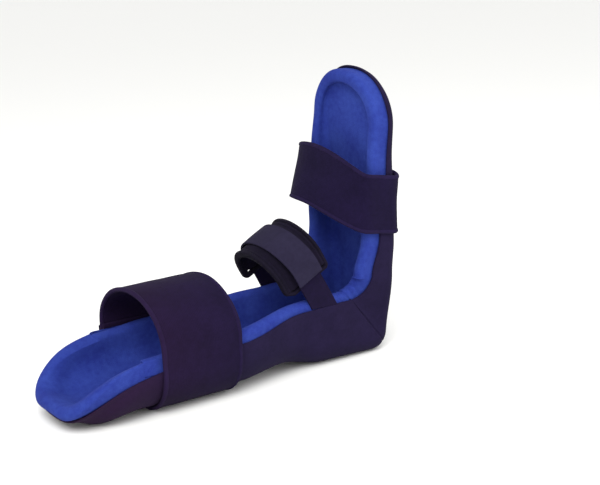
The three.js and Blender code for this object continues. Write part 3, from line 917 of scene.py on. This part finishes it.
FOREFOOT_HALF = 29.5
FOREFOOT_LATERAL, FOREFOOT_MEDIAL = 55, 56
FOREFOOT_MIDDLE = 154.5  # z of the strap's middle on the lateral wall
FOREFOOT_CLIMB = 22  # how far it climbs from there towards the toes
FOREFOOT_CREST = 30  # and the y at which it has climbed all the way
FOREFOOT_LEAN = 0.16  # how much it leans towards the toes on the walls
FLARE, FLARE_AT = 2.6, -48  # how far the distal edge stands off the sole's corner, and the corner's y
FLARE_TOP = 14  # above this height it fades out


def over_foot(y):
    share = np.maximum(0, (y + FOREFOOT_LATERAL + GAP) / (FOREFOOT_CREST + FOREFOOT_LATERAL + GAP))
    return FOREFOOT_MIDDLE + FOREFOOT_CLIMB * np.sin(share * math.pi / 2)


def forefoot_place(points, w):
    """The strap climbs towards the toes on its way over the foot, and evenly under the sole."""
    y, h = points[:, 0], points[:, 1]
    sole_share = np.clip((y + FOREFOOT_LATERAL) / (FOREFOOT_MEDIAL + FOREFOOT_LATERAL), 0, 1)
    under_sole = FOREFOOT_MIDDLE + (over_foot(FOREFOOT_MEDIAL) - FOREFOOT_MIDDLE) * sole_share
    on_anchor = (h < FOOT_CORNER) & (y < FOREFOOT_MEDIAL + GAP + STRAP_THICKNESS)
    lean = FOREFOOT_LEAN * np.maximum(0, h)
    return np.column_stack([-h, y, np.where(on_anchor, under_sole, over_foot(y)) + lean + w])


def forefoot_flare(point, w):
    """The strap's distal edge stands off the corner of the sole."""
    y, h = point
    if h < FLARE_TOP:
        at_corner = math.exp(-((y - FLARE_AT) / 20) ** 2)
    else:
        at_corner = math.exp(-((h - FLARE_TOP) / 8) ** 2) * (y < 0)
    return FLARE * at_corner * along([(0, 0), (FOREFOOT_HALF, 1)], w)


def wide_straps():
    calf = WideStrap(
        name="calf_strap", place=calf_place, lateral=58, medial=58, corner=40, floor=STRAP_SEAT,
        shoulder=63, medial_shoulder=63, crown=0, rise=lambda w: 43, flap_end=50, tab_end=33,
        near=-275, far=-192, bend_towards=(0.5, 0.866),
    )
    forefoot = WideStrap(
        name="forefoot_strap", place=forefoot_place, lateral=FOREFOOT_LATERAL, medial=FOREFOOT_MEDIAL,
        corner=FOOT_CORNER, floor=0, shoulder=36, medial_shoulder=25, crown=20,
        rise=lambda w: 18.25 - 11.25 * w / FOREFOOT_HALF, flap_end=21, tab_end=7,
        near=-FOREFOOT_HALF, far=FOREFOOT_HALF, bend_towards=(0.243, 0.97),
    )
    calf.build()
    forefoot.build(forefoot_flare)


wide_straps()


# ---- Ankle strap and instep pad --------------------------------------------------------------------------
# The loop's plane stands on the point (ANKLE_X, 0, ANKLE_Z) and leans towards the knee by ANKLE_TILT. s is
# the distance up the plane, and w the distance across the strap.
ANKLE_X, ANKLE_Z = -86, 66
ANKLE_TILT = math.radians(28)
WEBBING_HALF, WEBBING_THICKNESS = 15, 2.2
ANKLE_SHOULDER, ANKLE_RISE, ANKLE_END = 46, 31, 34  # s where the arch starts, its height, s of the free end
TAB_HALF, TAB_INNER, TAB_FOOT = 13.5, 41.2, 63.4  # half width, y of the inner face, height of the foot
PAD_HALF_WIDTH, PAD_THICKNESS = 28, 6
PAD_HALF, PAD_RISE = 32, 24.5  # half the width of the pad's arch, and its height
PAD_MEDIAL_END, PAD_LATERAL_END = 36, 28  # s of its ends


def ankle_place(points, w):
    """The ankle loop is drawn from the medial side, so its y runs the other way."""
    y, s = points[:, 0], points[:, 1]
    return np.column_stack([
        ANKLE_X - math.sin(ANKLE_TILT) * s + math.cos(ANKLE_TILT) * w,
        -y,
        ANKLE_Z + math.cos(ANKLE_TILT) * s + math.sin(ANKLE_TILT) * w,
    ])


def ankle_coordinates(point):
    """(y, s, w) of a point in the row frame: the inverse of ankle_place."""
    x, y, z = np.array(point) * 1000 - ORIGIN - (ANKLE_X, 0, ANKLE_Z)
    sine, cosine = math.sin(ANKLE_TILT), math.cos(ANKLE_TILT)
    return -y, cosine * z - sine * x, cosine * x + sine * z


def webbing_path(_):
    far = TAB_INNER + WEBBING_THICKNESS + HOOK_THICKNESS + 2 * GAP
    lapped = TAB_INNER + WEBBING_THICKNESS + 0.2
    return np.vstack([
        [(-lapped, 34), (-lapped, 40), (-lapped + 0.9, 45), (-TAB_INNER + 0.1, 50)],
        ellipse((0, ANKLE_SHOULDER), (TAB_INNER, ANKLE_RISE), 168, 90),
        ellipse((0, ANKLE_SHOULDER), (far, ANKLE_RISE), 90, 0),
        line((far, ANKLE_SHOULDER), (far, ANKLE_END)),
        [(far, ANKLE_END)],
    ])


def ankle_tab(name, side, top):
    """A flat tab sewn between the cover and the liner. Its foot is level; its top is square to the loop."""
    def path(w):
        foot = (TAB_FOOT - ANKLE_Z - math.sin(ANKLE_TILT) * w) / math.cos(ANKLE_TILT)
        y = -side * TAB_INNER
        ends = [(y, foot), (y, (foot + top) / 2), (y, top)]
        return np.array(ends if side > 0 else ends[::-1])

    section = flat_section(-TAB_HALF, TAB_HALF, WEBBING_THICKNESS, rounding=0.8)
    tab = band(name, path, section, ankle_place, tab_cloth)
    finish_piece(crumple(subdivide(tab), height=0.4, size=18), "strap_navy", [name], "trough")


def pad_path(start, end):
    return lambda _: np.vstack([
        line((-PAD_HALF, start), (-PAD_HALF, ANKLE_SHOULDER)),
        ellipse((0, ANKLE_SHOULDER), (PAD_HALF, PAD_RISE), 180, 0, 40),
        line((PAD_HALF, ANKLE_SHOULDER), (PAD_HALF, end)),
        [(PAD_HALF, end)],
    ])


CHANNEL_AT, CHANNEL_WIDTH, CHANNEL_DEPTH = 19.5, 1.4, 1.3  # the sewn channel on each side of the webbing
PUFF = 2.2  # how far the pad may swell beside the webbing
PUFF_UNDER = 0.3  # and under it
PRESSURE = 4
SIMULATED_FRAMES = 20
VOXEL = 0.0028  # metres: the grid that the pad is divided into before it is blown up


def inflate(obj, limit):
    """Blows the piece up as cloth. limit(point) caps each point's movement, in millimetres."""
    remesh = obj.modifiers.new("remesh", "REMESH")
    remesh.mode, remesh.voxel_size = "VOXEL", VOXEL
    applied(obj)
    before = [vertex.co.copy() for vertex in obj.data.vertices]
    cloth = obj.modifiers.new("cloth", "CLOTH")
    cloth.settings.use_pressure = True
    cloth.settings.uniform_pressure_force = PRESSURE
    cloth.settings.effector_weights.gravity = 0
    for frame_number in range(1, SIMULATED_FRAMES + 1):
        bpy.context.scene.frame_set(frame_number)
    applied(obj)
    bpy.context.scene.frame_set(1)
    for vertex, start in zip(obj.data.vertices, before):
        move = vertex.co - start
        most = limit(start) / 1000
        vertex.co = start + (move if move.length <= most else move * (most / move.length))
    for face in obj.data.polygons:
        face.use_smooth = True
    return obj


def pad_limit(point):
    """How far a point of the pad may move: little under the webbing, and more beside it."""
    w = abs(ankle_coordinates(point)[2])
    return PUFF_UNDER + PUFF * along([(WEBBING_HALF, 0), (WEBBING_HALF + 6, 1)], w)


def sew_channels(obj):
    def groove(point):
        w = abs(ankle_coordinates(point)[2])
        return -CHANNEL_DEPTH * math.exp(-((w - CHANNEL_AT) / CHANNEL_WIDTH) ** 2)

    push(obj, groove)


def instep_pad():
    """The cushion lies inside its binding, and is a little thinner than the pad as a whole."""
    inset, skin = 2.0, 0.3
    edge = PAD_HALF_WIDTH - inset
    section = flat_section(-edge, edge, PAD_THICKNESS - 2 * skin, lift=skin, rounding=2.4, step=3)
    path = pad_path(PAD_MEDIAL_END + inset, PAD_LATERAL_END + inset)
    pad = band("instep_cushion", path, section, ankle_place, pad_cloth)
    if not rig.quick():
        inflate(pad, pad_limit)
    subdivide(pad)
    sew_channels(pad)
    finish_piece(pad, "pad_dark", ["instep_pad"], "ankle_band")
    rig.padded(pad, fill=0.7)
    finish_piece(pad_binding(), "pad_binding", ["instep_pad_binding"], "ankle_band")


BEAD = 3.7  # half the height of the binding's rounded section
BEAD_WIDTH = 2.1
BEAD_SQUARENESS = 0.7  # 1 is an ellipse, and less is squarer
BINDING_CORNER = 3


def squared(share):
    """A sine or cosine, changed so that the round that it draws is squarer."""
    return math.copysign(abs(share) ** BEAD_SQUARENESS, share)


def pad_binding():
    """A rounded tape along the pad's whole edge."""
    path = pad_path(PAD_MEDIAL_END, PAD_LATERAL_END)(0)
    lengths = path_lengths(path)
    whole = lengths[-1]
    corner = BINDING_CORNER
    turn = np.radians(np.linspace(0, 90, 6))
    reach = PAD_HALF_WIDTH - BEAD_WIDTH
    quarter = np.column_stack([corner * np.sin(turn), corner * (1 - np.cos(turn))])
    side = [(a, reach) for a in np.linspace(corner, whole - corner, 60)[1:-1]]
    last = [(whole - corner + a, reach - b) for a, b in quarter]
    up = [(whole, w) for w in np.linspace(reach - corner, -reach + corner, 12)[1:-1]]
    first_half = side + last + up
    turned_round = [(whole - a, -w) for a, w in first_half]
    outline = first_half + turned_round
    outline = np.array(outline + outline[:1])
    rows = []
    for i, (a, w) in enumerate(outline):
        ahead = outline[(i + 1) % (len(outline) - 1)] - outline[i - 1 if i else -2]
        ahead = ahead / np.linalg.norm(ahead)
        at = [np.array([np.interp(a + step, lengths, path[:, k]) for k in (0, 1)]) for step in (-0.5, 0, 0.5)]
        along_loop = (at[2] - at[0]) / np.linalg.norm(at[2] - at[0])
        outward = np.array([-along_loop[1], along_loop[0]])
        row = []
        for angle in np.linspace(0, math.tau, 16, endpoint=False):
            sideways = BEAD_WIDTH * squared(math.cos(angle))
            height = PAD_THICKNESS / 2 + BEAD * squared(math.sin(angle))
            point = at[1] + along_loop * ahead[1] * sideways + outward * height
            row.append(ankle_place(point[None], np.array([w - ahead[0] * sideways]))[0])
        rows.append(row)
    return grid_mesh("instep_edge", np.array(rows), binding_cloth, around=True, merge=WELD)


def ankle():
    ankle_tab("ankle_strap_anchor", 1, ANKLE_SHOULDER - GAP)
    ankle_tab("ankle_tab_lateral", -1, ANKLE_SHOULDER - 1)
    section = flat_section(-WEBBING_HALF, WEBBING_HALF, WEBBING_THICKNESS, rounding=0.7)
    strap = subdivide(band("ankle_webbing", webbing_path, section, ankle_place, webbing))
    crumple(strap, height=0.35, size=22)
    finish_piece(strap, "webbing_grey", ["ankle_strap"])
    hinge, up = np.array([-TAB_INNER - WEBBING_THICKNESS, ANKLE_SHOULDER]), np.array([0.6, 0.8])
    ends = [row_frame(ankle_place(np.array([p]), 0.0))[0] for p in (hinge - 3 * up, hinge + 3.5 * up)]
    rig.blend(strap, "trough", "ankle_band", *ends)
    face = TAB_INNER + WEBBING_THICKNESS + GAP

    def hook_path(_):
        heights = (ANKLE_SHOULDER - 1, (ANKLE_SHOULDER + ANKLE_END) / 2, ANKLE_END + 1)
        return np.array([(face, s) for s in heights])

    hook_section = flat_section(-WEBBING_HALF * 0.9, WEBBING_HALF * 0.9, HOOK_THICKNESS, rounding=0.5)
    hook = band("ankle_hooks", hook_path, hook_section, ankle_place, hook_cloth)
    finish_piece(hook, "hook_tape", ["ankle_strap_hook"], "ankle_band")
    instep_pad()


ankle()


# ---- Camera, light and floor ---------------------------------------------------------------------------
FLOOR_HALF = 20  # metres


def studio():
    floor = bpy.data.meshes.new("floor")
    corners = [(x * FLOOR_HALF, y * FLOOR_HALF, 0) for x, y in ((-1, -1), (1, -1), (1, 1), (-1, 1))]
    floor.from_pydata(corners, [], [(0, 1, 2, 3)])
    n = Nodes("floor_paper")
    floor.materials.append(n.set(Base_Color=(0.9, 0.9, 0.88, 1), Roughness=0.9))
    ground = bpy.data.objects.new("floor", floor)
    bpy.context.collection.objects.link(ground)
    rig.stage(ground)
    world = bpy.data.worlds.new("studio")
    world.use_nodes = True
    background = world.node_tree.nodes["Background"]
    background.inputs["Color"].default_value = (1, 1, 1, 1)
    background.inputs["Strength"].default_value = 1.0
    bpy.context.scene.world = world
    area_light("key", position=(-0.9, -1.0, 1.5), size=1.1, power=32)
    area_light("fill", position=(0.9, -1.2, 0.9), size=1.4, power=10)
    bpy.context.scene.view_settings.view_transform = "Standard"


def area_light(name, position, size, power):
    """A square lamp, in metres and watts, that faces the middle of the part."""
    data = bpy.data.lights.new(name, "AREA")
    data.energy, data.size = power, size
    light = bpy.data.objects.new(name, data)
    light.location = position
    light.rotation_euler = (Vector((0, 0, 0.1)) - Vector(position)).to_track_quat("-Z", "Y").to_euler()
    bpy.context.collection.objects.link(light)


CAMERA_AT = (-739.6, -961.9, 413.9)
CAMERA_RIGHT = Vector((0.833, -0.551, -0.049))
CAMERA_BACK = Vector((-0.524, -0.814, 0.249))
LENS, SENSOR_WIDTH = 72.42, 36
SHIFT_X, SHIFT_Y = 0.0542, 0.012


def camera():
    data = bpy.data.cameras.new("camera")
    data.lens, data.sensor_width = LENS, SENSOR_WIDTH
    data.shift_x, data.shift_y = SHIFT_X, SHIFT_Y
    view = bpy.data.objects.new("camera", data)
    back = CAMERA_BACK.normalized()
    right = (CAMERA_RIGHT - back * CAMERA_RIGHT.dot(back)).normalized()
    up = back.cross(right)
    turn = Matrix((right, up, back)).transposed().to_4x4()
    view.matrix_world = Matrix.Translation(row_frame(CAMERA_AT)) @ turn
    bpy.context.collection.objects.link(view)
    bpy.context.scene.camera = view


studio()
camera()

bounds_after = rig.bounds()
with open("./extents.json", "w") as handle:
    json.dump({"before": [list(p) for p in bounds_before], "after": [list(p) for p in bounds_after]}, handle)
